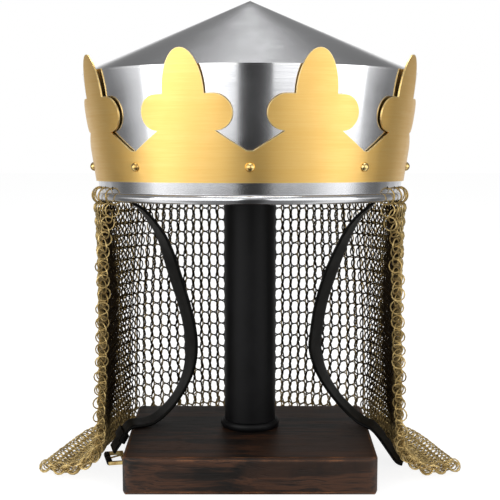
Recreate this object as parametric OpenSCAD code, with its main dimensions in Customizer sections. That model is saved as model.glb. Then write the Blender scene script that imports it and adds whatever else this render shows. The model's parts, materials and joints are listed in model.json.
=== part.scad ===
// Crowned helmet with a mail aventail, resting on its post stand.
// Millimetres, +Z up, +Y towards the back, origin at the middle of the base's underside.

/* [Stand] */
// Width of the wooden base
base_w = 197; // [193:1:201]
// Depth of the wooden base
base_d = 158; // [150:1:162]
// Thickness of the wooden base
base_h = 29.5; // [26:0.5:33]
// Radius of the base's upright corners
base_corner = 8; // [4:1:14]
// Width of the chamfer round the base's top and bottom edges
base_chamfer = 2; // [1:0.5:3]
// Outside diameter of the post tube
post_od = 42; // [36:1:48]
// Wall of the post tube
post_wall = 2; // [1.5:0.5:3]
// How far the post stands behind the middle of the base
post_back = 14; // [8:1:18]
// Outside diameter of the bead collar at the post's foot
collar_od = 48.4; // [46:0.4:56]
// Height of the bead collar
collar_h = 7; // [5:0.5:10]
// Diameter of the turned head on top of the post
head_od = 62; // [54:1:70]
// Height of the turned head
head_h = 22; // [18:1:28]
// Height of the spigot under the head that plugs the tube
spigot_h = 14; // [8:1:20]
// Thickness of the felt pad under the middle of the liner
pad_t = 9; // [7:0.5:12]
// Diameter of the tie rod
rod_d = 8; // [6:1:10]
// Depth of the counterbore that holds the tie nut
counterbore_h = 13; // [11:0.5:15]
// Diameter of that counterbore
counterbore_d = 24; // [22:1:28]
// Width across the tie nut's flats
nut_af = 13; // [12:0.5:16]
// Thickness of the tie nut
nut_t = 6.5; // [5:0.5:7]
// Outside diameter of the tie washer
washer_od = 20; // [18:1:21]
// Thickness of the tie washer
washer_t = 1.6; // [1:0.2:2.4]

/* [Skull] */
// Height of the rim's centre above the table
rim_z = 224.5; // [219.5:0.5:231.5]
// How far the rim's centre lies in front of the middle of the base
rim_front = 8; // [4:1:10]
// How far the helmet leans back on its post, in degrees
lean = 4; // [2:0.5:6]
// Outside radius of the skull's wall at the rim's centre
skull_r = 118.5; // [116:0.5:121]
// How much the wall's radius grows for each millimetre of height
skull_flare = 0.141; // [0.12:0.005:0.145]
// Thickness of the steel sheet
sheet = 1.2; // [0.9:0.1:1.6]
// Height of the crease between wall and cone above the rim's centre
crease_z = 95.6; // [90:0.5:102]
// Height of the cone above the crease
cone_h = 58; // [50:1:66]
// Diameter of the rolled tube round the rim
bead_d = 7.2; // [6.4:0.2:8]
// Diameter of the wire inside the rolled tube
bead_wire_d = 4.2; // [3:0.1:4.2]

/* [Crown] */
// Height of the crown's lower edge above the rim's centre
crown_z = 11.9; // [11:0.1:14]
// How far the crown's outside, carried down to the rim's centre, lies out of the skull's wall
crown_out = 1.3; // [1.3:0.1:1.7]
// How much the crown's radius grows for each millimetre of height
crown_flare = 0.16; // [0.155:0.005:0.18]
// Thickness of the brass sheet
brass_t = 1.2; // [0.9:0.1:1.3]
// Number of fleurs
fleurs = 8; // [6:2:8]
// Angle from one fleur to the next, in degrees
fleur_step = 42.5; // [40:0.5:43]
// Height of the notches between fleurs above the rim's centre
notch_z = 34.5; // [33:0.5:37]
// Height of the waist under the side lobes
waist_z = 48.8; // [46:0.2:50]
// Radius of the side lobes
lobe_r = 13; // [11:0.5:14]
// Distance of each side lobe's centre from the fleur's middle
lobe_out = 22.3; // [20:0.1:24]
// Half width of the middle petal
petal_half = 16.1; // [14:0.1:18]
// Height of the middle petal above the side lobes
petal_h = 32; // [26:1:36]
// Angle that the overlap at the back seam covers, in degrees
lap_angle = 7; // [5:1:9]
// Height of the crown rivets above the rim's centre
rivet_z = 23.1; // [22:0.1:24]
// Diameter of a rivet's domed head
rivet_head_d = 7.2; // [6:0.2:8]
// Height of a rivet's domed head
rivet_head_h = 3; // [2:0.2:3.4]
// Diameter of a rivet's shank
rivet_d = 4; // [3:0.2:4.4]
// Outside diameter of the burr under a rivet's tail
burr_od = 8.4; // [7.6:0.2:10]
// Thickness of that burr
burr_t = 0.8; // [0.6:0.1:1.2]

/* [Liner] */
// Thickness of the liner's leather
liner_t = 2; // [1.6:0.1:2.4]
// Height of the liner band's lower edge above the rim's centre
band_low = 9; // [8:0.5:11]
// Height of the liner band's upper edge above the rim's centre
band_high = 36; // [34:1:40]
// Number of liner tongues
tongues = 8; // [6:1:10]
// Angle between neighbouring tongues' edges, in degrees
tongue_gap = 5; // [3:0.5:8]
// Height of the laced tips above the rim's centre
tip_z = 110; // [106:1:114]
// Radius of the ring on which the tongues are laced
tip_r = 24; // [20:1:28]
// Diameter of the lace
lace_d = 2.4; // [1.8:0.1:2.6]
// Outside diameter of the rolled hem that the lace runs in
hem_d = 5.2; // [5:0.2:6.4]

/* [Chin straps] */
// Width of the chin straps
strap_w = 24; // [20:1:26]
// Thickness of the chin straps
strap_t = 2.2; // [1.8:0.1:2.6]
// Diameter of the punched holes in the right strap
punch_d = 3.2; // [2.6:0.2:4]
// Distance from one punched hole to the next
punch_step = 8; // [7:0.5:9]
// Diameter of the buckle's wire
buckle_wire = 2.8; // [2.4:0.1:3]
// Reach of the buckle's frame past its bar
buckle_reach = 12.4; // [11:0.2:12.6]
// How far the buckle's bar lies outside the base's edge
buckle_out = 19.6; // [18:0.2:20]
// How far the buckle's bar lies behind the middle of the base
buckle_y = 7.4; // [7:0.1:7.8]
// Width inside the buckle's frame
buckle_in = 25; // [24.4:0.2:27]
// Diameter of the buckle's bar
buckle_bar_d = 2.2; // [1.8:0.1:2.4]
// Diameter of the buckle's prong
prong_d = 1.6; // [1.4:0.1:1.8]
// Outside diameter of the prong's eye round the bar
prong_eye_d = 3.4; // [3.2:0.1:3.8]
// Thickness of the skived leather that loops round the buckle's bar
loop_t = 1.2; // [1:0.1:1.4]
// Thickness of the keeper's leather
keeper_t = 1.6; // [1.2:0.1:1.8]
// Width of the leather keeper on the left strap
keeper_w = 8; // [6:1:9]

/* [Mail] */
// Wire of the hanging rings
ring_wire = 1.2; // [1:0.1:1.4]
// Inside diameter of the hanging rings
ring_id = 11.2; // [11:0.1:11.6]
// Number of hanging rings
rings = 35; // [29:2:35]
// Angle from one hanging ring to the next, in degrees
ring_step = 7.06; // [6.6:0.02:7.06]
// Height of the ring holes above the rim's centre
ring_hole_z = 7; // [6.8:0.1:7.4]
// Diameter of the ring holes
ring_hole_d = 3; // [2.8:0.1:3.4]
// How far the hanging rings' centres lie outside the wall's radius
ring_out = 1.1; // [0.6:0.1:1.4]
// Thickness of the mail curtain, which the turned links fill
mail_t = 8; // [6:0.5:9]
// Angle from the back to the curtain's front edges, in degrees
mail_half_angle = 118; // [110:1:120]
// Radius of the bend where the curtain meets the table
mail_bend = 30; // [28:1:34]
// Radius of the hem that lies on the table
hem_r = 166; // [160:1:172]
// Share of the way round by which the curtain's front edges draw back down to the hem
mail_gather = 0.17; // [0.12:0.01:0.2]
// Gap between the curtain and the base's back corners, which push it out
corner_gap = 1.2; // [1:0.2:3]
// Depth of the hem's waves, in and out
hem_wave = 4; // [0:0.5:6]
// Number of waves round the hem
hem_waves = 7; // [4:1:9]

/* [Fits] */
// Gap between pieces that seat on each other
seat_gap = 0.05; // [0.03:0.01:0.1]
// Gap between soft pieces and what carries them
rest_gap = 0.3; // [0.2:0.05:0.5]
// Radial clearance of shanks, rods and pins in their bores
pin_fit = 0.06; // [0.04:0.01:0.1]

/* [Hidden] */
$fn = 96;

crease_r = skull_r + skull_flare * crease_z;
cone_slope = cone_h / crease_r;
cone_drop = sheet * sqrt(1 + cone_slope * cone_slope);
apex_z = crease_z + cone_h;
wall_step = sheet * sqrt(1 + skull_flare * skull_flare);
brass_step = brass_t * sqrt(1 + crown_flare * crown_flare);
liner_step = liner_t * sqrt(1 + skull_flare * skull_flare);
liner_out = wall_step + seat_gap;
liner_in = liner_out + liner_step;
crown_r = skull_r + crown_out;
crown_top = waist_z + 2 * lobe_r + petal_h;
rivet_tilt = atan(crown_flare);
rivet_turns = [for (i = [0 : fleurs]) (i - fleurs / 2) * fleur_step];
strap_turn = 2 * fleur_step;
first_tongue = (tongue_gap - 360 / tongues) / 2;
tongue_angle = 360 / tongues - tongue_gap;
head_top = rim_z + (tip_z - liner_t - rest_gap) * cos(lean) - (post_back + rim_front) * sin(lean) - pad_t;
head_low = head_top - head_h;
ring_r = (ring_id + ring_wire) / 2;
ring_z = ring_hole_z - ring_r;
mail_top = ring_z - ring_r - ring_wire / 2 - rest_gap;
hem_z = mail_t / 2 + rest_gap;

// Places a piece that is drawn in the helmet's own frame, whose origin is the rim's centre
module on_post() {
    translate([0, -rim_front, rim_z]) rotate([-lean, 0, 0]) children();
}

// Turns a piece drawn at the front to an angle round the helmet, counted from the front
module round_helmet(turn) {
    rotate([0, 0, turn]) children();
}

// A leaning strip turned round the axis: outside radius at height 0, flare, wall, and its two heights
module flared_strip(r, flare, wall, low, high) {
    rotate_extrude()
        polygon([
            [r + flare * low, low], [r + flare * high, high],
            [r + flare * high - wall, high], [r + flare * low - wall, low]
        ]);
}

// Points a rivet, drawn along +Z from the crown's outside, at its place on the crown
module at_rivet(turn) {
    round_helmet(turn)
        translate([0, -(crown_r + crown_flare * rivet_z), rivet_z])
            rotate([90 + rivet_tilt, 0, 0]) children();
}

// A dome of a given width and height standing on the plane z = 0
module dome(d, h) {
    ball = (d * d / 4 + h * h) / (2 * h);
    intersection() {
        translate([0, 0, h - ball]) sphere(r = ball);
        cylinder(d = d + 1, h = h + 1);
    }
}

module washer_disc(od, id, t) {
    difference() {
        cylinder(d = od, h = t);
        translate([0, 0, -1]) cylinder(d = id, h = t + 2);
    }
}

// Stand

module rounded_plan(inset) {
    w = base_w / 2 - base_corner;
    d = base_d / 2 - base_corner;
    for (x = [-w, w], y = [-d, d]) translate([x, y]) circle(r = base_corner - inset);
    square([2 * w, base_d - 2 * inset], center = true);
    square([base_w - 2 * inset, 2 * d], center = true);
}

module base_block() {
    color("saddlebrown") difference() {
        intersection() {
            linear_extrude(base_h) rounded_plan(0);
            chamfered_length(base_w, base_d);
            rotate([0, 0, 90]) chamfered_length(base_d, base_w);
        }
        translate([0, post_back, -1]) cylinder(d = rod_d + 2 * pin_fit, h = base_h + 2);
        translate([0, post_back, -1]) cylinder(d = counterbore_d, h = counterbore_h + 1);
    }
}

// The base's section with its long edges chamfered, run along its depth
module chamfered_length(w, d) {
    c = base_chamfer;
    rotate([90, 0, 0])
        linear_extrude(d + 2, center = true)
            polygon([
                [-w / 2 + c, 0], [w / 2 - c, 0], [w / 2, c], [w / 2, base_h - c],
                [w / 2 - c, base_h], [-w / 2 + c, base_h], [-w / 2, base_h - c], [-w / 2, c]
            ]);
}

module tie_washer() {
    color("gray")
        translate([0, post_back, counterbore_h - washer_t])
            washer_disc(washer_od, rod_d + 2 * pin_fit, washer_t);
}

module tie_nut() {
    color("dimgray")
        translate([0, post_back, counterbore_h - washer_t - nut_t])
            difference() {
                cylinder(d = nut_af / cos(30), h = nut_t, $fn = 6);
                translate([0, 0, -1]) cylinder(d = rod_d + 2 * pin_fit, h = nut_t + 2, $fn = 96);
            }
}

module tie_rod() {
    low = counterbore_h - washer_t - nut_t - 1;
    color("gray")
        translate([0, post_back, low]) cylinder(d = rod_d, h = head_low + head_h / 2 - low);
}

module post_tube() {
    color("black")
        translate([0, post_back, base_h])
            washer_disc(post_od, post_od - 2 * post_wall, head_low - base_h);
}

module foot_collar() {
    bore = post_od / 2 + pin_fit;
    bead = collar_h / 2;
    flat = 0.6;
    proud = collar_od / 2 - bore - flat;
    color("black")
        translate([0, post_back, base_h])
            rotate_extrude()
                polygon(concat(
                    [[bore, 0]],
                    [for (a = [-90 : 15 : 90]) [bore + flat + proud * cos(a), bead + bead * sin(a)]],
                    [[bore, collar_h]]
                ));
}

// Head: a flat top, a rounded side and a spigot that plugs the tube, bored from below for the rod
module post_head() {
    side = head_h * 0.4;
    color("black")
        translate([0, post_back, head_low])
            rotate_extrude() union() {
                bore = rod_d / 2 + pin_fit;
                plug = post_od / 2 - post_wall - pin_fit;
                translate([bore, -spigot_h]) square([plug - bore, spigot_h + 1]);
                translate([bore, 0]) square([head_od / 2 - side - bore, head_h]);
                translate([bore, side]) square([head_od / 2 - bore, head_h - 2 * side]);
                translate([head_od / 2 - side, side]) circle(r = side);
                translate([head_od / 2 - side, head_h - side]) circle(r = side);
                translate([0, head_h * 0.6]) square([bore + 1, head_h * 0.4]);
            }
}

// Felt pad: its top follows the underside of the leaning liner
module head_pad() {
    color("dimgray") intersection() {
        translate([0, post_back, head_top]) cylinder(d = head_od - head_h * 0.8, h = 3 * pad_t);
        on_post() rotate_extrude() polygon([
            [0, 0], [tongue_under[4][0], 0], tongue_under[4] - [0, 1.1 * rest_gap],
            tongue_under[5] - [0, rest_gap], [0, tip_z - liner_t - rest_gap]
        ]);
    }
}

// Skull

module skull_wall() {
    under = cone_drop + seat_gap;
    outer_top = crease_z - under / (1 + skull_flare * cone_slope);
    inner_top = outer_top + wall_step * cone_slope / (1 + skull_flare * cone_slope);
    color("silver") on_post() difference() {
        rotate_extrude() difference() {
            union() {
                polygon([
                    [skull_r, 0], [skull_r + skull_flare * outer_top, outer_top],
                    [skull_r + skull_flare * inner_top - wall_step, inner_top], [skull_r - wall_step, 0]
                ]);
                translate([skull_r - wall_step / 2, 0]) circle(d = bead_d);
            }
            translate([skull_r - wall_step / 2, 0]) circle(d = bead_wire_d + 2 * pin_fit);
        }
        ring_holes();
        rivet_bores();
    }
}

module rim_wire() {
    color("gray") on_post()
        rotate_extrude() translate([skull_r - wall_step / 2, 0]) circle(d = bead_wire_d);
}

module skull_cone() {
    color("silver") on_post()
        rotate_extrude()
            polygon([
                [0, apex_z - cone_drop], [0, apex_z], [crease_r, crease_z],
                [crease_r - sheet * skull_flare, crease_z - sheet],
                [crease_r - sheet * cone_slope, crease_z + sheet * cone_slope * cone_slope - cone_drop]
            ]);
}

module ring_holes() {
    for (i = [0 : rings - 1])
        round_helmet(ring_turn(i))
            translate([0, -skull_r, ring_hole_z]) rotate([90, 0, 0])
                cylinder(d = ring_hole_d, h = 8 * sheet, center = true);
}

module rivet_bores() {
    for (turn = rivet_turns)
        at_rivet(turn) cylinder(d = rivet_d + 2 * pin_fit, h = 4 * burr_od, center = true);
}

// Crown

// Half of a fleur's edge, from the notch round the side lobe to the tip of the middle petal
function fleur_edge(half) = concat(
    [[half, crown_z + 4], [half, notch_z - 1]],
    [for (a = [-90 : 10 : 90]) [lobe_out + lobe_r * cos(a), waist_z + lobe_r + lobe_r * sin(a)]],
    [for (a = [0 : 9 : 90]) [petal_half * cos(a), waist_z + 2 * lobe_r + petal_h * sin(a)]]
);

// One fleur, drawn flat: x across, y up from the rim's centre
module fleur_outline() {
    notch_flat = 0.6;
    right = fleur_edge((crown_r + crown_flare * notch_z) * sin(fleur_step / 2) - notch_flat);
    polygon(concat(right, [for (k = [len(right) - 2 : -1 : 0]) [-right[k][0], right[k][1]]]));
}

module crown_band() {
    color("gold") on_post() difference() {
        union() {
            intersection() {
                flared_strip(crown_r, crown_flare, brass_step, crown_z, crown_top + 1);
                union() {
                    translate([0, 0, crown_z - 1]) cylinder(r = 2 * skull_r, h = notch_z - crown_z + 1);
                    for (i = [0 : fleurs - 1])
                        round_helmet((i - (fleurs - 1) / 2) * fleur_step)
                            rotate([90, 0, 0])
                                translate([0, 0, skull_r / 2]) linear_extrude(skull_r) fleur_outline();
                }
            }
            lap();
        }
        rivet_bores();
        lap_bores();
    }
}

// The end of the brass strip where it laps over its start at the back
module lap() {
    low = crown_z + brass_t / 2;
    high = notch_z - brass_t / 2;
    rotate([0, 0, 90 - lap_angle / 2])
        rotate_extrude(angle = lap_angle)
            polygon([
                [crown_r + crown_flare * low - brass_step / 2, low],
                [crown_r + crown_flare * low + brass_step, low],
                [crown_r + crown_flare * high + brass_step, high],
                [crown_r + crown_flare * high - brass_step / 2, high]
            ]);
}

// Points a lap rivet, drawn along +Z from the lap's outside, at its place above or below the crown rivets' height
module at_lap(side) {
    z = rivet_z + side * rivet_head_d * 0.9;
    rotate([0, 0, 180])
        translate([0, -(crown_r + crown_flare * z + brass_step), z]) rotate([90 + rivet_tilt, 0, 0]) children();
}

module lap_bores() {
    for (side = [-1, 1]) at_lap(side) cylinder(d = rivet_d / 2 + 2 * pin_fit, h = 12, center = true);
}

module lap_rivets() {
    depth = 2 * brass_t + 0.2;
    color("goldenrod") on_post()
        for (side = [-1, 1])
            at_lap(side) {
                translate([0, 0, seat_gap]) dome(rivet_head_d * 0.6, rivet_head_h * 0.5);
                translate([0, 0, -depth]) cylinder(d = rivet_d / 2, h = depth + seat_gap + 0.2);
            }
}

// Rivets at the straps also pass through the strap
function rivet_depth(turn) =
    crown_r + crown_flare * rivet_z - skull_r - skull_flare * rivet_z + liner_in
    + (abs(abs(turn) - strap_turn) < 1 ? strap_t + seat_gap : 0);

module crown_rivets() {
    color("goldenrod") on_post()
        for (turn = rivet_turns)
            at_rivet(turn) {
                translate([0, 0, seat_gap]) dome(rivet_head_d, rivet_head_h);
                translate([0, 0, -rivet_depth(turn) - burr_t - 0.6])
                    cylinder(d = rivet_d, h = rivet_depth(turn) + burr_t + 1);
                translate([0, 0, -rivet_depth(turn) - burr_t - 4 * seat_gap - 1.2])
                    cylinder(d = rivet_d + 1.6, h = 1.2);
            }
}

module rivet_burrs() {
    color("goldenrod") on_post()
        for (turn = rivet_turns)
            at_rivet(turn)
                translate([0, 0, -rivet_depth(turn) - burr_t - 2 * seat_gap])
                    washer_disc(burr_od, rivet_d + 2 * pin_fit, burr_t);
}

// Liner

module liner_band() {
    color("black") on_post() difference() {
        flared_strip(skull_r - liner_out, skull_flare, liner_step, band_low, band_high);
        rivet_bores();
    }
}

// How far the tongues lap over the band
tongue_lap = 6;
// Radius of the tongues' outside, carried down to the rim's centre
tongue_r = skull_r - liner_in - seat_gap;
// Height at which the tongues leave the wall and turn inwards
tongue_bend = (band_high + 2 * crease_z) / 4.4;
// The tongues' way from that bend to the laced tips, as shares of the way in and of the way up
tongue_shares = [[0.13, 0.38], [0.335, 0.71], [0.666, 0.897], [1, 1]];
tongue_line = concat(
    [for (z = [band_high - tongue_lap, tongue_bend]) [tongue_r + skull_flare * z, z]],
    [for (p = tongue_shares) let (r = tongue_r + skull_flare * tongue_bend)
        [r + p[0] * (tip_r - r), tongue_bend + p[1] * (tip_z - tongue_bend)]]
);
// The same line one leather's thickness inside
tongue_under = [
    for (i = [0 : 5])
        let (way = tongue_line[min(i + 1, 5)] - tongue_line[max(i - 1, 0)])
        tongue_line[i] + liner_t * (i == 5 ? [0, -1] : i == 0 ? [-1, 0] : [-way[1], way[0]] / norm(way))
];

module liner_tongues() {
    color("black") on_post()
        for (i = [0 : tongues - 1])
            rotate([0, 0, i * 360 / tongues + first_tongue])
                rotate_extrude(angle = tongue_angle) difference() {
                    union() {
                        polygon(concat(tongue_line, [for (k = [5 : -1 : 0]) tongue_under[k]]));
                        translate([tip_r, tip_z + hem_d / 2 - liner_t]) circle(d = hem_d);
                    }
                    translate([tip_r, tip_z + hem_d / 2 - liner_t]) circle(d = lace_d + 4 * pin_fit);
                }
}

module liner_lace() {
    color("saddlebrown") on_post()
        rotate_extrude() translate([tip_r, tip_z + hem_d / 2 - liner_t]) circle(d = lace_d);
}

// Chin straps: flat leather strips from the skull's sides down over the base's edges to the table.
// Each row of a course is [share of the way up, way out, way back, rise, turn of the width from Y in degrees].
// The first value mixes the skull's radius and the rim's height with the base's edge and top.
// Below the base's top the rise is for a base of this height, and shrinks or grows with the real one.
course_h = 29.5;
left_course = [
    [1, -5.3, -9, 13, 5], [1, -6.3, -9, 9.5, 6], [1, -8.9, -8, 5.5, 8], [1, -13.5, -7, 1.4, 10],
    [0.98, -20.5, -4.2, 0.5, 14], [0.95, -29.4, -1.4, 0.3, 18], [0.89, -38, 1.1, -0, 20.8],
    [0.81, -45.2, 4.5, -0.5, 24.6], [0.68, -50.3, 7.4, -0.6, 29], [0.5, -56.2, 11, 0.5, 27],
    [0.38, -57.5, 14, 0.9, 26], [0.28, -54.8, 16.7, 0.4, 21.7], [0.19, -48.3, 19.5, 1, 15.6],
    [0.12, -38.7, 21.2, -0.9, 12], [0.05, -27.1, 20.5, 0.8, 12], [0.02, -17.5, 18.4, 0.1, 12],
    [0.01, -9.2, 15.8, 0.2, 12], [0.01, -3.4, 13.6, 0.2, 12], [0.01, 1, 11.8, -0.4, 12],
    [0, 4.8, 10.5, -1.5, 12], [0, 8.2, 9.8, -6.9, 12], [0, 11.4, 9.1, -12.2, 12], [0, 14, 8.6, -16, 12],
    [0, 16, 8.2, -19.4, 12]
];
right_course = [
    [1, -5.3, -9, 13, 5], [1, -6.3, -9, 9.5, 6], [1, -9.1, -8, 5.5, 8], [1, -14.5, -6, 0, 11],
    [0.95, -23.4, -3.4, 0.3, 16], [0.89, -32, -0.9, 1, 20.4], [0.81, -39.2, 1.5, 0, 24.4],
    [0.68, -46.3, 5.4, -0.1, 29], [0.54, -51.2, 9.3, 0.2, 27], [0.42, -52.5, 11.4, -0.9, 26],
    [0.35, -51.9, 13.8, 0.2, 25], [0.28, -47.8, 16.2, -0.1, 20.6], [0.21, -40.7, 18.7, -0.9, 16.2],
    [0.13, -29.9, 19.7, 0.1, 12], [0.07, -18.6, 18.5, 0.3, 12], [0.03, -8.7, 15.9, 0.1, 12],
    [0.01, -2.2, 13.5, 0.9, 12], [0, 2.8, 11.7, 0.9, 12], [0, 7, 10.2, -2.5, 12], [0, 11.4, 9, -8, 12],
    [0, 16, 8, -14.5, 12], [0, 19.8, 7.3, -20, 12], [0, 22.8, 6.7, -24.2, 12], [0, 25.8, 6.2, -27, 12],
    [0, 29.4, 5.6, -28.1, 12]
];

function route_of(course, side) = [
    for (row = course) [
        side * (row[0] * skull_r + (1 - row[0]) * base_w / 2 + row[1]),
        row[2] - row[0] * rim_front,
        row[0] * rim_z + (1 - row[0]) * base_h + row[3] * (row[0] == 0 ? base_h / course_h : 1)
    ]
];

left_route = route_of(left_course, -1);
right_route = route_of(right_course, 1);

function smooth_point(p, i, t) =
    let (a = p[max(i - 1, 0)], b = p[i], c = p[i + 1], d = p[min(i + 2, len(p) - 1)])
    0.5 * (2 * b + (c - a) * t + (2 * a - 5 * b + 4 * c - d) * t * t + (3 * b - a - 3 * c + d) * t * t * t);

function smooth_route(p, steps) =
    [for (i = [0 : len(p) - 2], s = [0 : steps - 1]) smooth_point(p, i, s / steps), p[len(p) - 1]];

// Sweeps a level strip along a route, its width turned from Y by the angles given
module strip(route, turns, w, t) {
    n = len(route);
    ends = [for (i = [0 : n - 1]) route[min(i + 1, n - 1)] - route[max(i - 1, 0)]];
    across = [for (a = turns) [-sin(a), cos(a), 0]];
    side = [for (i = [0 : n - 1]) cross(across[i], ends[i]) / norm(cross(across[i], ends[i]))];
    points = [
        for (i = [0 : n - 1], c = [[-1, -1], [-1, 1], [1, 1], [1, -1]])
            route[i] + across[i] * c[0] * w / 2 - side[i] * c[1] * t / 2
    ];
    walls = [
        for (i = [0 : n - 2], k = [0 : 3])
            let (a = 4 * i + k, b = 4 * i + (k + 1) % 4) each [[a, b, b + 4], [a, b + 4, a + 4]]
    ];
    last = 4 * (n - 1);
    polyhedron(points, concat(walls, [[3, 2, 1], [3, 1, 0], [last, last + 1, last + 2], [last, last + 2, last + 3]]));
}

// The same curve through a row's last value
function smooth_turns(course, side, steps) =
    [for (p = smooth_route([for (row = course) [side * row[4], 0, 0]], steps)) p[0]];

// The strap's upper end: it follows the liner band's curve under the crown rivet at the temple
module strap_tab(turn) {
    half = strap_w / skull_r * 90 / PI;
    low = (band_low + rivet_z) / 2 - burr_od / 2;
    high = band_high - tongue_lap - rest_gap;
    r = skull_r - liner_in - seat_gap;
    on_post() rotate([0, 0, turn - 90 - half])
        rotate_extrude(angle = 2 * half)
            polygon([
                [r + skull_flare * low, low], [r + skull_flare * high, high],
                [r + skull_flare * high - strap_t, high], [r + skull_flare * low - strap_t, low]
            ]);
}

module strap_left() {
    color("black") difference() {
        union() {
            strip(smooth_route(left_route, 2), smooth_turns(left_course, 1, 2), strap_w, strap_t);
            strap_tab(-strap_turn);
        }
        on_post() rivet_bores();
    }
}

module strap_right() {
    last = len(right_route) - 1;
    end = right_route[last];
    color("black") difference() {
        union() {
            strip(smooth_route(right_route, 2), smooth_turns(right_course, -1, 2), strap_w, strap_t);
            strap_tab(strap_turn);
        }
        on_post() rivet_bores();
        for (i = [0, 1])
            translate(end) rotate([0, 0, -right_course[last][4]]) translate([-(i + 0.5) * punch_step, 0, 0])
                cylinder(d = punch_d, h = 4 * strap_t, center = true);
    }
}

module strap_keeper() {
    low = left_route[len(left_route) - 3];
    high = left_route[len(left_route) - 5];
    inside = [strap_t + 3 * rest_gap, strap_w + 2 * rest_gap];
    away = norm([high[0] - low[0], high[1] - low[1]]);
    color("black")
        translate((low + high) / 2) rotate([0, 0, strap_end_turn]) rotate([0, atan2(away, high[2] - low[2]), 0])
            linear_extrude(keeper_w, center = true) difference() {
                square([inside[0] + 2 * keeper_t, inside[1] + 2 * keeper_t], center = true);
                square(inside, center = true);
            }
}

// Buckle: it lies folded back under the left strap's end, and its frame and prong turn on its bar
loop_r = buckle_bar_d / 2 + rest_gap + loop_t;
strap_end_turn = left_course[len(left_course) - 1][4];
buckle_at = [-base_w / 2 - buckle_out, buckle_y, loop_r + rest_gap];

// Places a piece that is drawn round Z on the buckle's bar, its own X towards the base
module at_buckle() {
    translate(buckle_at) rotate([90, 0, strap_end_turn]) children();
}

// The left strap's end is folded round the bar, and slit in the middle for the prong
module strap_fold() {
    way = left_route[len(left_route) - 1] - buckle_at;
    half = (strap_w - prong_d) / 2 - rest_gap;
    color("black") at_buckle() for (side = [-1, 1])
        translate([0, 0, side * (half + prong_d + 2 * rest_gap) / 2]) linear_extrude(half, center = true)
            difference() {
                union() {
                    circle(r = loop_r);
                    rotate(atan2(way[2], norm([way[0], way[1]]))) translate([0, -strap_t / 2])
                        square([norm(way) - 2 * seat_gap, strap_t]);
                }
                circle(d = buckle_bar_d + 2 * rest_gap);
            }
}

module buckle_bar() {
    color("goldenrod") at_buckle() cylinder(d = buckle_bar_d, h = buckle_in + 2 * buckle_wire, center = true);
}

module buckle_frame() {
    wide = buckle_in + 2 * buckle_wire;
    long = buckle_reach + buckle_wire;
    color("goldenrod") at_buckle() difference() {
        rotate([-90, 0, 0]) translate([buckle_reach / 2, 0, 0])
            linear_extrude(buckle_wire, center = true) difference() {
                square([long, wide], center = true);
                translate([-buckle_wire, 0]) square([long, buckle_in], center = true);
            }
        cylinder(d = buckle_bar_d + 2 * pin_fit, h = 2 * wide, center = true);
    }
}

module buckle_prong() {
    rise = asin((buckle_wire / 2 + prong_d / 2 + rest_gap) / buckle_reach);
    start = (buckle_bar_d / 2 + pin_fit + prong_eye_d / 2) / 2;
    color("goldenrod") at_buckle() {
        difference() {
            cylinder(d = prong_eye_d, h = prong_d, center = true);
            cylinder(d = buckle_bar_d + 2 * pin_fit, h = 2 * prong_d, center = true);
        }
        rotate([0, 90, rise]) translate([0, 0, start])
            cylinder(d = prong_d * 0.9, h = buckle_reach + buckle_wire - start);
    }
}

// Mail

// Hanging rings run from one temple round the back to the other
function ring_turn(i) = 180 + (i - (rings - 1) / 2) * ring_step;

module hanging_rings() {
    color("darkgoldenrod") on_post()
        for (i = [0 : rings - 1])
            round_helmet(ring_turn(i))
                translate([0, -(skull_r - wall_step / 2 + ring_out), ring_z]) rotate([0, 90, 0])
                    rotate_extrude() translate([ring_r, 0]) circle(d = ring_wire);
}

// The curtain is drawn as a closed sheet: it hangs from the rings, bends outwards and lies on the table.
// Each of its steps is [share of the hanging height, angle through the bend, share of the way to the hem].
curtain_steps = [
    [0, 0, 0], [0.33, 0, 0], [0.67, 0, 0], [1, 0, 0], [1, 18, 0], [1, 36, 0], [1, 54, 0], [1, 72, 0], [1, 90, 0],
    [1, 90, 0.33], [1, 90, 0.67], [1, 90, 1]
];
curtain_turns = [for (i = [0 : 46]) -mail_half_angle + i * 2 * mail_half_angle / 46];

function curtain_top(turn) = rim_z + mail_top - skull_r * cos(turn) * sin(lean);
function curtain_wave(turn, step) = hem_wave * (step[1] / 90 + step[2]) / 2 * cos(hem_waves * turn);

// The base's back corners push the curtain out: most at their own angle, and more the lower it hangs
corner_turn = atan2(base_w / 2, base_d / 2 + rim_front);
curtain_r = skull_r - wall_step / 2 + ring_out;
corner_r = norm([base_w / 2 - base_corner, base_d / 2 + rim_front - base_corner]) + base_corner;
corner_push = max(corner_r + corner_gap + mail_t / 2 - curtain_r, 0);
function curtain_push(turn, step) =
    corner_push * exp(-pow((abs(turn) - corner_turn) / 12, 2)) * pow(step[0], 2) * (1 - step[2]);

// The angle from the back at which a column of links hangs, once its front edges have drawn back
function gathered(turn, step) =
    turn * (1 - mail_gather * (pow(step[0], 1.5) / 2 + (step[1] / 90 + step[2]) / 4));

// A point on the sheet: start is its column's angle at the top, off is measured square to the sheet
function curtain_point(start, step, off) =
    let (
        turn = gathered(start, step),
        mid = curtain_r,
        bend_z = hem_z + mail_bend,
        reach = step[2] * (hem_r - mid - mail_bend) + curtain_wave(turn, step) + curtain_push(turn, step),
        r = mid + mail_bend * (1 - cos(step[1])) + reach + off * cos(step[1]),
        z = step[0] < 1
            ? curtain_top(turn) + step[0] * (bend_z - curtain_top(turn))
            : bend_z - mail_bend * sin(step[1]) + off * sin(step[1])
    )
    [r * sin(turn), r * cos(turn) - rim_front, z];

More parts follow.
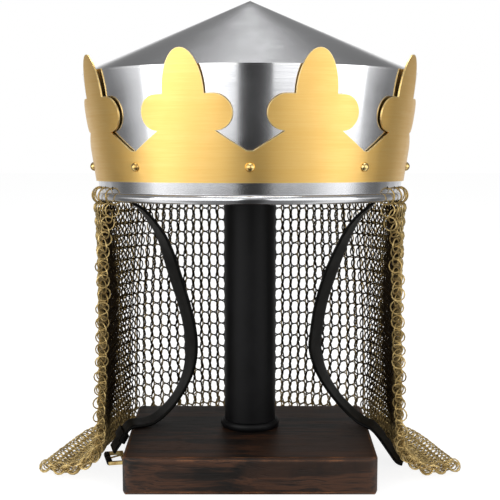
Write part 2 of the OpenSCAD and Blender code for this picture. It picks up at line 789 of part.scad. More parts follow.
module mail_curtain() {
    rows = len(curtain_steps);
    cols = len(curtain_turns);
    sheet_points = [
        for (off = [mail_t / 2, -mail_t / 2], turn = curtain_turns, step = curtain_steps)
            curtain_point(turn, step, off)
    ];
    half = rows * cols;
    outer = [
        for (i = [0 : cols - 2], j = [0 : rows - 2])
            let (a = i * rows + j, b = a + rows) each [[a, b, b + 1], [a, b + 1, a + 1]]
    ];
    inner = [for (f = outer) [f[2] + half, f[1] + half, f[0] + half]];
    loop = concat(
        [for (i = [0 : cols - 2]) i * rows], [for (j = [0 : rows - 2]) (cols - 1) * rows + j],
        [for (i = [cols - 1 : -1 : 1]) i * rows + rows - 1], [for (j = [rows - 1 : -1 : 1]) j]
    );
    edge = [
        for (k = [0 : len(loop) - 1])
            let (a = loop[k], b = loop[(k + 1) % len(loop)]) each [[b, a, a + half], [b, a + half, b + half]]
    ];
    color("darkgoldenrod") polyhedron(sheet_points, concat(outer, inner, edge));
}

base_block();
tie_nut();
tie_washer();
tie_rod();
post_tube();
foot_collar();
post_head();
head_pad();
skull_wall();
rim_wire();
skull_cone();
crown_band();
crown_rivets();
rivet_burrs();
lap_rivets();
liner_band();
liner_tongues();
liner_lace();
strap_left();
strap_right();
strap_keeper();
strap_fold();
buckle_bar();
buckle_frame();
buckle_prong();
hanging_rings();
mail_curtain();
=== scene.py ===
"""Crowned helmet with a mail aventail on its post stand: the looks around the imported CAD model."""

from __future__ import annotations

import json
import logging
import math
import random
from dataclasses import dataclass
from enum import Enum
from functools import cache, cached_property, partial
from typing import Any, Callable, Sequence

import bmesh
import bpy
import numpy as np
from mathutils import Matrix, Vector

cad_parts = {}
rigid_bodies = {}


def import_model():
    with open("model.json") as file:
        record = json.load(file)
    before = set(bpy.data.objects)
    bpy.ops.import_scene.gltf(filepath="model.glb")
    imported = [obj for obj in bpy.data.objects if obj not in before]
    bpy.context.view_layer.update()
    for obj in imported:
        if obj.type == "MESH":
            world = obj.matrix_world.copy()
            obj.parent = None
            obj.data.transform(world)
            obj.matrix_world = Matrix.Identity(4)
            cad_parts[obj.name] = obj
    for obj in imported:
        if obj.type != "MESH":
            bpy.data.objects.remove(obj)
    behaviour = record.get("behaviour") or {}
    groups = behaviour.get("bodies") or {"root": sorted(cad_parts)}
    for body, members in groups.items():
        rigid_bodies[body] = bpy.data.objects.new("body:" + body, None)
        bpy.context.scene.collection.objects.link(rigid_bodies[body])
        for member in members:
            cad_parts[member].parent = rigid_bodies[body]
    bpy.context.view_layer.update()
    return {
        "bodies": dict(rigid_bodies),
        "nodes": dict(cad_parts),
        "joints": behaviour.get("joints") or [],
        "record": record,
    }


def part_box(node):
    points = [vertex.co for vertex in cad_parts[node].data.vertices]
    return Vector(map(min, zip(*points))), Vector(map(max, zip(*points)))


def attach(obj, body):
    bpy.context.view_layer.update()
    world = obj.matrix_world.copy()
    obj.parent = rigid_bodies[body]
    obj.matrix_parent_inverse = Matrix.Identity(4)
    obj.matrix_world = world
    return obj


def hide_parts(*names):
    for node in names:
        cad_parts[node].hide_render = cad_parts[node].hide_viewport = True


LOG = logging.getLogger("crowned_helmet")
MM = 0.001
WHITE = (1, 1, 1, 1)
SHARP = math.radians(50)

Floats = tuple[float, ...]
Colour = Floats
BMesh = bmesh.types.BMesh
Mesh = bpy.types.Mesh
Node = bpy.types.Node
Piece = bpy.types.Object
Socket = bpy.types.NodeSocket
Tree = bpy.types.NodeTree


class Body(str, Enum):
    """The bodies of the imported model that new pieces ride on."""

    STAND = "stand"
    HELMET = "helmet"


class Slot(str, Enum):
    """The names of the record's material slots."""

    FELT = "felt"
    LINER = "liner_leather"
    LACE = "lace_leather"
    STRAP = "strap_leather"
    MAIL = "mail_brass"


# Node wiring


class Wiring:
    """Places the nodes of one material, group or world and joins them."""

    def __init__(self, tree: Tree) -> None:
        """Starts on an empty tree."""
        self.tree = tree
        tree.nodes.clear()

    def node(self, kind: str, inputs: dict[Any, Any] | None = None, **settings: Any) -> Node:
        """Adds one node.

        Args:
            kind: The node's type without its Shader prefix.
            inputs: For each socket's name or number, a constant or an output socket to join.
            settings: The node's own properties.

        Returns:
            The new node.
        """
        made = self.tree.nodes.new("ShaderNode" + kind)
        for name, value in settings.items():
            setattr(made, name, value)
        for name, value in (inputs or {}).items():
            socket = made.inputs[name]
            if isinstance(value, Socket):
                self.tree.links.new(value, socket)
            else:
                socket.default_value = value
        return made

    def math(self, operation: str, *values: Any) -> Socket:
        """Adds a Math node."""
        return self.node("Math", dict(enumerate(values)), operation=operation).outputs[0]

    def times(self, first: Any, second: Any) -> Socket:
        """The product of two numbers or sockets."""
        return self.math("MULTIPLY", first, second)

    def plus(self, first: Any, second: Any) -> Socket:
        """The sum of two numbers or sockets."""
        return self.math("ADD", first, second)

    def span(self, value: Any, low: Any, high: Any) -> Socket:
        """Maps a value smoothly to 0 at low and 1 at high, clamped."""
        inputs = {"Value": value, "From Min": low, "From Max": high}
        return self.node("MapRange", inputs, interpolation_type="SMOOTHSTEP").outputs[0]

    def mix(self, share: Any, low: Any, high: Any) -> Socket:
        """Mixes two colours by the share of the second one."""
        return self.node("Mix", {0: share, 6: low, 7: high}, data_type="RGBA").outputs[2]

    def ramp(self, value: Socket, stops: Sequence[tuple[float, Colour]]) -> Socket:
        """Adds a colour ramp.

        Args:
            value: What the ramp reads.
            stops: Places from 0 to 1, each with its colour.

        Returns:
            The colour's socket.
        """
        made = self.node("ValToRGB", {0: value})
        elements = made.color_ramp.elements
        while len(elements) < len(stops):
            elements.new(0.5)
        for element, (place, colour) in zip(elements, stops):
            element.position = place
            element.color = colour
        return made.outputs[0]

    def greys(self, value: Socket, stops: Sequence[Floats]) -> Socket:
        """Adds a ramp of greys, each given by its place and brightness."""
        return self.ramp(value, [(place, (grey, grey, grey, 1)) for place, grey in stops])

    def coords(self) -> Socket:
        """The place in the object's own space."""
        return self.node("TexCoord").outputs["Object"]

    def split(self, vector: Socket) -> Sequence[Socket]:
        """The three parts of a vector."""
        return self.node("SeparateXYZ", {0: vector}).outputs

    def noise(self, place: Socket, scale: Any, detail: float, **more: float) -> Socket:
        """A noise texture's value."""
        inputs = {"Vector": place, "Scale": scale, "Detail": detail, **more}
        return self.node("TexNoise", inputs).outputs[0]

    def bump(self, height: Socket, strength: float, depth: float, **more: Socket) -> Socket:
        """Turns a height into a normal."""
        inputs = {"Height": height, "Strength": strength, "Distance": depth, **more}
        return self.node("Bump", inputs).outputs[0]

    def effect(self, tree: Tree, **inputs: Any) -> Sequence[Socket]:
        """Places a shared effect and gives its outputs."""
        return self.node("Group", inputs, node_tree=tree).outputs

    def principled(self, colour: Socket, rough: Any, more: dict[str, Any]) -> Node:
        """The surface shader of a colour, a roughness and other inputs."""
        return self.node("BsdfPrincipled", {"Base Color": colour, "Roughness": rough, **more})

    def glow(self, kind: str, colour: Any, strength: float) -> Node:
        """An emission or background shader."""
        return self.node(kind, {"Color": colour, "Strength": strength})

    def choose(self, share: Socket, first: Node, second: Node) -> Node:
        """Mixes two shaders by the share of the second one."""
        return self.node("MixShader", {0: share, 1: first.outputs[0], 2: second.outputs[0]})

    def rays(self) -> tuple[Socket, Socket]:
        """Whether the camera looks, straight or through something, and whether a mirror does."""
        path = self.node("LightPath").outputs
        return self.math("MAXIMUM", path["Is Camera Ray"], path["Is Transmission Ray"]), path["Is Glossy Ray"]

    def finish(self, shader: Node, kind: str = "OutputMaterial") -> None:
        """Sends the shader to the output."""
        self.node(kind, {"Surface": shader.outputs[0]})


class Group(Wiring):
    """The wiring of a shared effect: a shader node group that gives numbers."""

    def __init__(self, name: str, inputs: dict[str, float | None], *outputs: str) -> None:
        """Starts the group.

        Args:
            name: The group's name.
            inputs: Each input's label with its default number, or with None for a vector.
            outputs: The outputs' labels.
        """
        tree = bpy.data.node_groups.new(name, "ShaderNodeTree")
        super().__init__(tree)
        for label, value in inputs.items():
            kind = "NodeSocketVector" if value is None else "NodeSocketFloat"
            socket = tree.interface.new_socket(name=label, in_out="INPUT", socket_type=kind)
            if value is not None:
                socket.default_value = value
        for label in outputs:
            tree.interface.new_socket(name=label, in_out="OUTPUT", socket_type="NodeSocketFloat")
        self.given = tree.nodes.new("NodeGroupInput").outputs
        self.taken = tree.nodes.new("NodeGroupOutput").inputs

    def done(self, *values: Socket) -> Tree:
        """Joins the results to the outputs in their order.

        Args:
            values: The results.

        Returns:
            The group's tree.
        """
        for value, socket in zip(values, self.taken):
            self.tree.links.new(value, socket)
        return self.tree


def rgba(*display: float) -> Colour:
    """A display colour from 0 to 255 as linear RGBA."""
    shares = [value / 255.0 for value in display]
    return (*(c / 12.92 if c <= 0.04045 else ((c + 0.055) / 1.055) ** 2.4 for c in shares), 1.0)


# Effects that several finishes share, each one shader node group


@cache
def helmet_coords() -> Tree:
    """Gives a place on the helmet as way round, distance from its axis and height, in metres.

    Returns:
        The group.
    """
    w = Group("round_helmet", {}, "around", "radius", "height")
    helmet = HelmetPlace()
    shift = helmet.matrix.inverted()
    inputs = {"Vector": w.coords(), "Location": shift.to_translation(), "Rotation": shift.to_euler()}
    x, y, z = w.split(w.node("Mapping", inputs).outputs[0])
    radius = w.math("SQRT", w.plus(w.times(x, x), w.times(y, y)))
    turn = w.math("ARCTAN2", x, w.times(y, -1.0))
    return w.done(w.times(turn, helmet.radius), radius, z)


@cache
def brushed_lines() -> Tree:
    """Fine parallel scratches along the input's X.

    Returns:
        The group.
    """
    w = Group("brushing", {"vector": None, "lines": 2600.0, "shortened": 0.02}, "value")
    x, y, z = w.split(w.given["vector"])
    line = w.node("CombineXYZ", {0: w.times(x, w.given["shortened"]), 1: y, 2: z}).outputs[0]
    fine = w.noise(line, w.given["lines"], 3.0)
    coarse = w.noise(line, w.times(w.given["lines"], 0.17), 2.0)
    return w.done(w.span(w.plus(w.times(fine, 0.6), w.times(coarse, 0.4)), 0.3, 0.7))


@cache
def soft_patches() -> Tree:
    """Soft irregular patches, such as tarnish or handling marks.

    Returns:
        The group.
    """
    w = Group("blotches", {"scale": 40.0, "low": 0.4, "high": 0.65}, "mask")
    patches = w.noise(w.coords(), w.given["scale"], 5.0, Roughness=0.6)
    return w.done(w.span(patches, w.given["low"], w.given["high"]))


@cache
def edge_wear_and_highlight() -> Tree:
    """Finds sharp edges, broken up as wear is: real wear on most finishes, a painted highlight on brushed
    sheet.

    Returns:
        The group.
    """
    w = Group("worn_and_highlit_edges", {"radius": 0.001, "breaks": 0.5, "scale": 90.0}, "mask")
    rounded = w.node("Bevel", {"Radius": w.given["radius"]}, samples=6).outputs[0]
    flat = w.node("NewGeometry").outputs["Normal"]
    agree = w.node("VectorMath", {0: rounded, 1: flat}, operation="DOT_PRODUCT").outputs["Value"]
    patches = w.noise(w.coords(), w.given["scale"], 4.0)
    kept = w.math("SUBTRACT", 1.0, w.times(w.span(patches, 0.35, 0.6), w.given["breaks"]))
    return w.done(w.times(w.span(agree, 0.995, 0.85), kept))


@cache
def leather_grain() -> Tree:
    """Leather's pebbled height.

    Returns:
        The group.
    """
    w = Group("leather_grain", {"scale": 900.0}, "height")
    coords = w.coords()
    cells = w.node("TexVoronoi", {"Vector": coords, "Scale": w.given["scale"]}, feature="F1").outputs[0]
    soft = w.noise(coords, w.times(w.given["scale"], 0.3), 3.0)
    return w.done(w.plus(w.times(cells, 0.6), soft))


# Finishes


@dataclass(frozen=True)
class Finish:
    """One finish: it wires its own material."""

    name: str

    def wire(self, w: Wiring) -> Node:
        """Wires the nodes, which each finish does in its own way.

        Args:
            w: The wiring.

        Returns:
            The shader.
        """
        raise NotImplementedError

    def material(self) -> bpy.types.Material:
        """The finish as a material, made on first use.

        Returns:
            The material.
        """
        made = bpy.data.materials.get(self.name)
        if made is None:
            made = bpy.data.materials.new(self.name)
            made.use_nodes = True
            w = Wiring(made.node_tree)
            w.finish(self.wire(w))
        return made


@dataclass(frozen=True)
class BrushedSheet(Finish):
    """Sheet metal brushed round the helmet's axis."""

    dull: Colour
    bright: Colour
    # The colour of the painted highlight on the cut edges.
    edge: Colour
    roughness: float
    stretch: float
    scratch: float

    def wire(self, w: Wiring) -> Node:
        """Brushing in roughness and height, tarnish in colour, and a painted highlight on the cut edges.

        Args:
            w: The wiring.

        Returns:
            The shader.
        """
        around, radius, height = w.effect(helmet_coords())
        vector = w.node("CombineXYZ", {0: around, 1: radius, 2: height}).outputs[0]
        lines = w.effect(brushed_lines(), vector=vector)[0]
        marks = w.effect(soft_patches(), scale=28.0, low=0.42, high=0.7)[0]
        edges = w.effect(edge_wear_and_highlight(), radius=0.0011, breaks=0.25)[0]
        body = w.mix(w.times(lines, 0.8), self.dull, self.bright)
        body = w.mix(w.times(marks, 0.35), body, self.dull)
        rough = w.plus(w.times(lines, -0.05), self.roughness + 0.025)
        more = {
            "Metallic": 1.0,
            "Anisotropic": self.stretch,
            "Anisotropic Rotation": 0.25,
            "Tangent": w.node("Tangent", direction_type="RADIAL", axis="Z").outputs[0],
            "Normal": w.bump(lines, self.scratch, 0.00008),
        }
        # Painted highlight: the sharp edges take the edge colour.
        return w.principled(w.mix(edges, body, self.edge), w.plus(rough, w.times(marks, 0.05)), more)


@dataclass(frozen=True)
class PlainMetal(Finish):
    """Cast, drawn or turned metal with light tarnish and worn edges."""

    low: Colour
    high: Colour
    roughness: float

    def wire(self, w: Wiring) -> Node:
        """Tarnish in colour and roughness.

        Args:
            w: The wiring.

        Returns:
            The shader.
        """
        marks = w.effect(soft_patches(), scale=160.0, low=0.35, high=0.7)[0]
        edges = w.effect(edge_wear_and_highlight(), radius=0.0006)[0]
        colour = w.mix(w.times(edges, 0.6), w.mix(marks, self.high, self.low), self.high)
        return w.principled(colour, w.plus(w.times(marks, 0.14), self.roughness), {"Metallic": 1.0})


@dataclass(frozen=True)
class ShadedLinks(Finish):
    """Brass mail: each link has its own tone, and painted shade darkens the inside of the curtain and the
    inward side of each ring.
    """

    bright: Colour
    olive: Colour
    dark: Colour

    def wire(self, w: Wiring) -> Node:
        """Reads the tone and the painted shade that the links carry.

        Args:
            w: The wiring.

        Returns:
            The shader.
        """
        tone, age = (w.node("Attribute", attribute_name=name).outputs["Fac"] for name in ("tone", "age"))
        marks = w.effect(soft_patches(), scale=260.0, low=0.38, high=0.66)[0]
        body = w.mix(tone, self.olive, self.bright)
        body = w.mix(w.times(marks, 0.45), body, self.dark)
        rough = w.plus(w.times(marks, 0.15), 0.3)
        rough = w.plus(rough, w.times(age, 0.12))
        # Painted shade: the links' shade attribute darkens them towards the dark colour, which also serves
        # the tarnish patches.
        return w.principled(w.mix(age, body, self.dark), rough, {"Metallic": 1.0})


@dataclass(frozen=True)
class Leather(Finish):
    """Vegetable-tanned leather with a dull waxed face."""

    base: Colour
    rubbed: Colour
    roughness: float

    def wire(self, w: Wiring) -> Node:
        """Grain in height, rubbing in colour and roughness.

        Args:
            w: The wiring.

        Returns:
            The shader.
        """
        height = w.effect(leather_grain(), scale=1100.0)[0]
        marks = w.effect(soft_patches(), scale=55.0, low=0.4, high=0.68)[0]
        edges = w.effect(edge_wear_and_highlight(), radius=0.0007, breaks=0.6)[0]
        rub = w.math("MAXIMUM", w.times(marks, 0.5), edges)
        rough = w.math("SUBTRACT", self.roughness, w.times(rub, 0.12))
        more = {"Specular IOR Level": 0.12, "Normal": w.bump(height, 0.35, 0.0002)}
        return w.principled(w.mix(rub, self.base, self.rubbed), rough, more)


@dataclass(frozen=True)
class BlackPaint(Finish):
    """Satin black paint over steel."""

    base: Colour
    dusty: Colour
    roughness: float

    def wire(self, w: Wiring) -> Node:
        """Orange peel in height, dust and rubbing in colour.

        Args:
            w: The wiring.

        Returns:
            The shader.
        """
        marks = w.effect(soft_patches(), scale=35.0, low=0.4, high=0.7)[0]
        peel = w.noise(w.coords(), 900.0, 2.0)
        colour = w.mix(w.times(marks, 0.4), self.base, self.dusty)
        more = {"Specular IOR Level": 0.2, "Normal": w.bump(peel, 0.12, 0.0002)}
        return w.principled(colour, w.plus(w.times(marks, 0.08), self.roughness), more)


@dataclass(frozen=True)
class OiledHardwood(Finish):
    """Dark hardwood whose grain runs along X, worn to warm wood on its edges."""

    dark: Colour
    mid: Colour
    red: Colour
    worn: Colour

    def wire(self, w: Wiring) -> Node:
        """Streaks and pores along X, wear on the edges.

        Args:
            w: The wiring.

        Returns:
            The shader.
        """
        coords = w.coords()
        long = w.node("Mapping", {"Vector": coords, "Scale": (0.07, 1.0, 1.0)}).outputs[0]
        sway = w.times(w.noise(coords, 9.0, 2.0), 0.02)
        swayed = w.node("VectorMath", {0: long, 1: sway}, operation="ADD").outputs[0]
        broad = w.noise(swayed, 85.0, 5.0, Roughness=0.65)
        fine = w.noise(swayed, 620.0, 3.0)
        streaks = ((0.36, self.dark), (0.5, self.mid), (0.58, self.red), (0.66, self.mid), (0.74, self.dark))
        pores = w.span(fine, 0.56, 0.66)
        colour = w.mix(w.times(pores, 0.7), w.ramp(broad, streaks), self.dark)
        edges = w.effect(edge_wear_and_highlight(), radius=0.0035, breaks=0.75, scale=60.0)[0]
        rub = w.effect(soft_patches(), scale=11.0, low=0.44, high=0.62)[0]
        colour = w.mix(w.times(rub, 0.4), colour, self.red)
        colour = w.mix(w.times(edges, 0.85), colour, self.worn)
        height = w.math("SUBTRACT", w.times(broad, 0.4), pores)
        soft = w.node("Bevel", {"Radius": 0.004}, samples=8).outputs[0]
        more = {"Specular IOR Level": 0.35, "Normal": w.bump(height, 0.35, 0.0003, Normal=soft)}
        return w.principled(colour, w.plus(w.times(fine, 0.2), 0.42), more)


@dataclass(frozen=True)
class WoolFelt(Finish):
    """Dense wool felt."""

    low: Colour
    high: Colour

    def wire(self, w: Wiring) -> Node:
        """Crossing fibres in colour and height.

        Args:
            w: The wiring.

        Returns:
            The shader.
        """
        fibres = w.noise(w.coords(), 1400.0, 6.0, Distortion=1.5)
        marks = w.effect(soft_patches(), scale=120.0)[0]
        share = w.plus(w.times(fibres, 0.7), w.times(marks, 0.3))
        more = {"Sheen Weight": 0.3, "Normal": w.bump(fibres, 0.6, 0.0004)}
        return w.principled(w.mix(share, self.low, self.high), 0.95, more)


STEEL = BrushedSheet(
    "brushed_steel", rgba(214, 215, 218), rgba(228, 228, 230), rgba(250, 250, 250), 0.15, 0.75, 0.02
)
BRASS = BrushedSheet(
    "satin_brass", rgba(247, 201, 114), rgba(253, 213, 133), rgba(255, 240, 186), 0.36, 0.3, 0.015
)
RIM = PlainMetal("polished_rim", rgba(196, 197, 200), rgba(226, 226, 228), 0.25)
RIVET = PlainMetal("polished_brass", rgba(190, 150, 84), rgba(246, 220, 152), 0.14)
ZINC = PlainMetal("zinc_grey_steel", rgba(120, 122, 126), rgba(190, 192, 196), 0.34)
LINKS = ShadedLinks("brass_links_painted_shade", rgba(236, 208, 144), rgba(190, 162, 104), rgba(34, 26, 16))
STRAP = Leather("black_strap_leather", rgba(3, 3, 2), rgba(12, 11, 9), 0.5)
LINER = Leather("brown_liner_leather", rgba(44, 30, 22), rgba(96, 68, 46), 0.55)
LACE = Leather("tan_lace", rgba(126, 84, 50), rgba(176, 126, 80), 0.6)
PAINT = BlackPaint("satin_black_paint", rgba(6, 6, 7), rgba(22, 22, 24), 0.46)
WOOD = OiledHardwood("oiled_hardwood", rgba(6, 5, 4), rgba(25, 17, 12), rgba(68, 41, 24), rgba(168, 106, 60))
FELT = WoolFelt("grey_felt", rgba(40, 40, 44), rgba(84, 84, 88))


# Shapes


@dataclass(frozen=True)
class HelmetPlace:
    """Where the helmet stands: its rim's centre, its lean to the back, its wall's radius and flare."""

    rim_y: float = -8 * MM
    rim_z: float = 224.5 * MM
    lean: float = math.radians(4)
    radius: float = 118.5 * MM
    flare: float = 0.141

    @property
    def matrix(self) -> Matrix:
        """From the helmet's own frame to the row frame."""
        return Matrix.Translation((0, self.rim_y, self.rim_z)) @ Matrix.Rotation(-self.lean, 4, "X")

    def point(self, radius: float, turn: float, height: float) -> Vector:
        """The point at a distance from the helmet's axis, an angle round it and a height."""
        return self.matrix @ Vector((radius * math.cos(turn), radius * math.sin(turn), height))


@dataclass
class Workshop:
    """What every sub-assembly needs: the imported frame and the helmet's place."""

    frame: dict[str, Any]
    helmet: HelmetPlace

    def dress(self, finish: Finish, *nodes: str) -> None:
        """Gives CAD nodes their finish.

        Args:
            finish: The finish.
            nodes: The nodes' names.
        """
        made = finish.material()
        for name in nodes:
            for slot in self.frame["nodes"][name].material_slots:
                slot.material = made
            LOG.info("%s: %s", name, finish.name)

    def add(self, name: str, mesh: Mesh, finish: Finish, slot: Slot, body: Body = Body.HELMET) -> Piece:
        """Makes a mesh into a piece that rides on its body.

        Args:
            name: The piece's name.
            mesh: Its mesh.
            finish: Its finish.
            slot: The record's material slot; not used.
            body: The body that it rides on.

        Returns:
            The piece.
        """
        mesh.name = name
        mesh.materials.append(finish.material())
        mesh.shade_smooth()
        piece = placed(name, mesh)
        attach(piece, body.value)
        LOG.info("%s: %d faces", name, len(mesh.polygons))
        return piece


def placed(name: str, data: Any, place: Sequence[float] = (0, 0, 0)) -> Piece:
    """Puts a mesh, lamp or camera into the scene.

    Args:
        name: The object's name.
        data: Its mesh, lamp or camera.
        place: Where it stands.

    Returns:
        The object.
    """
    made = bpy.data.objects.new(name, data)
    made.location = place
    bpy.context.scene.collection.objects.link(made)
    return made


def settled(bm: BMesh) -> Mesh:
    """Writes an edited shape into a mesh and frees it.

    Args:
        bm: The shape.

    Returns:
        The mesh.
    """
    mesh = bpy.data.meshes.new("shape")
    bm.to_mesh(mesh)
    bm.free()
    return mesh


def draped(
    place: Callable[[float, float], Vector], columns: int, rows: int, bm: BMesh | None = None
) -> BMesh:
    """A grid laid over a surface, with a UV map of both shares.

    Args:
        place: Gives the point for a share across and a share along.
        columns: Faces across.
        rows: Faces along.
        bm: The shape that gets the grid, or None for a new one.

    Returns:
        The shape.
    """
    if bm is None:
        bm = bmesh.new()
        bm.loops.layers.uv.new("flat")
    made = bmesh.ops.create_grid(bm, x_segments=columns, y_segments=rows, size=0.5, calc_uvs=True)
    for vert in made["verts"]:
        vert.co = place(vert.co.x + 0.5, vert.co.y + 0.5)
    return bm


def clean(bm: BMesh) -> None:
    """Joins a closed shape's seam and turns its faces outwards."""
    bmesh.ops.remove_doubles(bm, verts=bm.verts, dist=1e-6)
    bmesh.ops.recalc_face_normals(bm, faces=bm.faces)


def round_edges(bm: BMesh, edges: list[bmesh.types.BMEdge], radius: float) -> None:
    """Rounds some of a shape's edges."""
    bmesh.ops.bevel(bm, geom=edges, offset=radius, segments=3, profile=0.5, affect="EDGES", material=-1)


def wire_ring(radius: float, wire: float, turns: int, sides: int) -> BMesh:
    """A ring of round wire about Y: a small circle spun round.

    Args:
        radius: The ring's mean radius.
        wire: The wire's radius.
        turns: Steps round the ring.
        sides: Sides of the wire.

    Returns:
        The shape.
    """
    bm = bmesh.new()
    section = bmesh.ops.create_circle(bm, segments=sides, radius=wire)["verts"]
    bmesh.ops.transform(bm, matrix=Matrix.Translation((radius, 0, 0)), verts=section)
    geom = bm.verts[:] + bm.edges[:]
    full = 2 * math.pi
    bmesh.ops.spin(bm, geom=geom, cent=(0, 0, 0), axis=(0, 1, 0), angle=full, steps=turns, use_merge=True)
    clean(bm)
    return bm


def thicken(piece: Piece, thickness: float, bevel: float) -> None:
    """Gives a sheet its thickness, to both sides alike, and rounded edges.

    Args:
        piece: The sheet.
        thickness: How thick it gets.
        bevel: Radius of its edges.
    """
    wall = piece.modifiers.new("thickness", "SOLIDIFY")
    wall.thickness = thickness
    wall.offset = 0.0
    wall.use_even_offset = True
    rounding = piece.modifiers.new("rounding", "BEVEL")
    rounding.width = bevel
    rounding.segments = 2
    rounding.limit_method = "ANGLE"
    rounding.angle_limit = SHARP


def smooth_line(points: Sequence[Sequence[float]], steps: int) -> list[Vector]:
    """A smooth curve through points.

    Args:
        points: The points.
        steps: Pieces between one point and the next.

    Returns:
        The curve's points.
    """
    given = [Vector(p) for p in points]
    line: list[Vector] = []
    last = len(given) - 1
    for i in range(last):
        a, b, c, d = given[max(i - 1, 0)], given[i], given[i + 1], given[min(i + 2, last)]
        for t in (s / steps for s in range(steps)):
            bend = (2 * a - 5 * b + 4 * c - d) * t * t + (3 * b - a - 3 * c + d) * t**3
            line.append(0.5 * (2 * b + (c - a) * t + bend))
    line.append(given[-1])
    return line


def along(line: Sequence[Vector], share: float) -> Vector:
    """The point at a share of a line's points.

    Args:
        line: The line's points.
        share: From 0 to 1.

    Returns:
        The point.
    """
    place = min(max(share, 0.0), 1.0) * (len(line) - 1)
    low = min(int(place), len(line) - 2)
    return line[low].lerp(line[low + 1], place - low)


def hump(value: float, middle: float, width: float) -> float:
    """A smooth hump that is 1 at its middle and fades over its width."""
    return math.exp(-(((value - middle) / width) ** 2))


@dataclass
class Stand:
    """Wooden base, black post and its head."""

    shop: Workshop
    pad_radius: float = 22 * MM
    pad_gap: float = 0.3 * MM
    pad_height: float = 8.5 * MM
    pad_slack: float = 0.2 * MM
    pad_edge: float = 1.2 * MM

    def build(self) -> None:
        """Dresses the stand's nodes and makes its felt pad."""
        self.shop.dress(WOOD, "base_block")
        self.shop.dress(PAINT, "post_tube", "foot_collar", "post_head")
        self.shop.dress(ZINC, "tie_nut", "tie_washer", "tie_rod")
        self.pad()

    def pad(self) -> None:
        """A felt disc with a soft edge in the CAD pad's own space."""
        low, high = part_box("head_pad")
        radius = self.pad_radius
        bm = bmesh.new()
        bmesh.ops.create_cone(bm, cap_ends=True, segments=64, radius1=radius, radius2=radius, depth=1.0)
        middle = Vector(((low[0] + high[0]) / 2, (low[1] + high[1]) / 2, low[2]))
        rise = high[2] - low[2] - self.pad_height - self.pad_slack
        for vert in bm.verts:
            lift = self.pad_gap
            if vert.co.z > 0:
                lift = self.pad_height + max(-math.tan(self.shop.helmet.lean) * vert.co.y, -rise)
            vert.co = middle + Vector((vert.co.x, vert.co.y, lift))
        round_edges(bm, [e for e in bm.edges if e.calc_face_angle(0) > 1], self.pad_edge)
        piece = self.shop.add("felt_pad", settled(bm), FELT, Slot.FELT, Body.STAND)
        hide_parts("head_pad")


@dataclass
class Skull:
    """Steel wall and cone, brass crown and rivets, and the buckle in the rivets' brass."""

    shop: Workshop

    def build(self) -> None:
        """Dresses the skull's nodes."""
        self.shop.dress(STEEL, "skull_wall", "skull_cone")
        self.shop.dress(BRASS, "crown_band")
        self.shop.dress(RIVET, "crown_rivets", "lap_rivets", "rivet_burrs")
        self.shop.dress(RIVET, "buckle_bar", "buckle_frame", "buckle_prong")
        self.shop.dress(RIM, "rim_wire")


@dataclass
class Liner:
    """Leather band, tongues and lace inside the skull."""

    shop: Workshop
    thick: float = 2 * MM
    band_radius: float = 115.2 * MM
    band_low: float = 9.2 * MM
    band_high: float = 35.8 * MM
    band_edge: float = 0.5 * MM
    tongues: int = 8
    tongue_angle: float = math.radians(39)
    tongue_edge: float = 0.45 * MM
    tongue_line: tuple[Floats, ...] = (
        (117.2, 30.4), (120.4, 52), (107.1, 73.4), (87.5, 92), (55.8, 103), (26, 108.6),
    )
    tip_radius: float = 24 * MM
    tip_height: float = 110.6 * MM
    lace_radius: float = 1.2 * MM

    def build(self) -> None:
        """Makes the band, the tongues and the lace."""
        self.band()
        self.petals()
        self.lace()

    def band(self) -> None:
        """Makes the band that follows the flared wall."""
        helmet = self.shop.helmet

        def on_band(u: float, v: float) -> Vector:
            """A point of the band."""
            height = self.band_low + v * (self.band_high - self.band_low)
            return helmet.point(self.band_radius + helmet.flare * height, u * 2 * math.pi, height)

        bm = draped(on_band, columns=144, rows=4)
        clean(bm)
        piece = self.shop.add("leather_band", settled(bm), LINER, Slot.LINER)
        thicken(piece, self.thick, self.band_edge)
        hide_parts("liner_band")

    def petals(self) -> None:
        """Makes the laced tongues as one piece."""
        profile = [point * MM for point in smooth_line(self.tongue_line, 4)]

        def on_tongue(middle: float, u: float, v: float) -> Vector:
            """A point of the tongue round one angle."""
            radius, height = along(profile, v)
            return self.shop.helmet.point(radius, middle + (u - 0.5) * self.tongue_angle, height)

        bm = None
        for index in range(self.tongues):
            place = partial(on_tongue, index * 2 * math.pi / self.tongues)
            bm = draped(place, columns=10, rows=24, bm=bm)
        piece = self.shop.add("leather_tongues", settled(bm), LINER, Slot.LINER)
        thicken(piece, self.thick, self.tongue_edge)
        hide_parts("liner_tongues")

    def lace(self) -> None:
        """Makes the lace that draws the tongues together."""
        ring = wire_ring(self.tip_radius, self.lace_radius, turns=96, sides=12)
        level = Matrix.Translation((0, 0, self.tip_height)) @ Matrix.Rotation(math.pi / 2, 4, "X")
        bmesh.ops.transform(ring, matrix=self.shop.helmet.matrix @ level, verts=ring.verts)
        piece = self.shop.add("lace", settled(ring), LACE, Slot.LACE)
        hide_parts("liner_lace")


